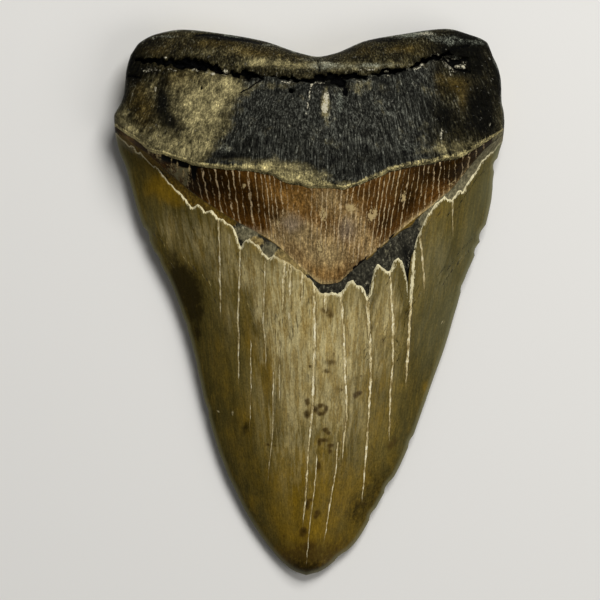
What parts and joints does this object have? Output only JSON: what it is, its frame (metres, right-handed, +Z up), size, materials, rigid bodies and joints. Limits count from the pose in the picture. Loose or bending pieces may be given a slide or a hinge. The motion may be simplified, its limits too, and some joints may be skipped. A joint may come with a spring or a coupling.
{
  "type": "fossil shark tooth",
  "caption": "Large triangular fossil shark tooth with a two-lobed root, lying flat with its bulging inner face up.",
  "frame": {"origin": "middle of the outline's box, on the surface that the flat labial face rests on", "axes": "+X across the tooth to the right, +Y from the tip to the root, +Z up out of the bulging lingual face"},
  "size_m": [0.1056, 0.1476, 0.0302],
  "materials": {
    "fossil": "glossy olive-tan enamel crown, matt charcoal root"
  },
  "bodies": {
    "root": {"tooth": "fossil"}
  },
  "joints": []
}
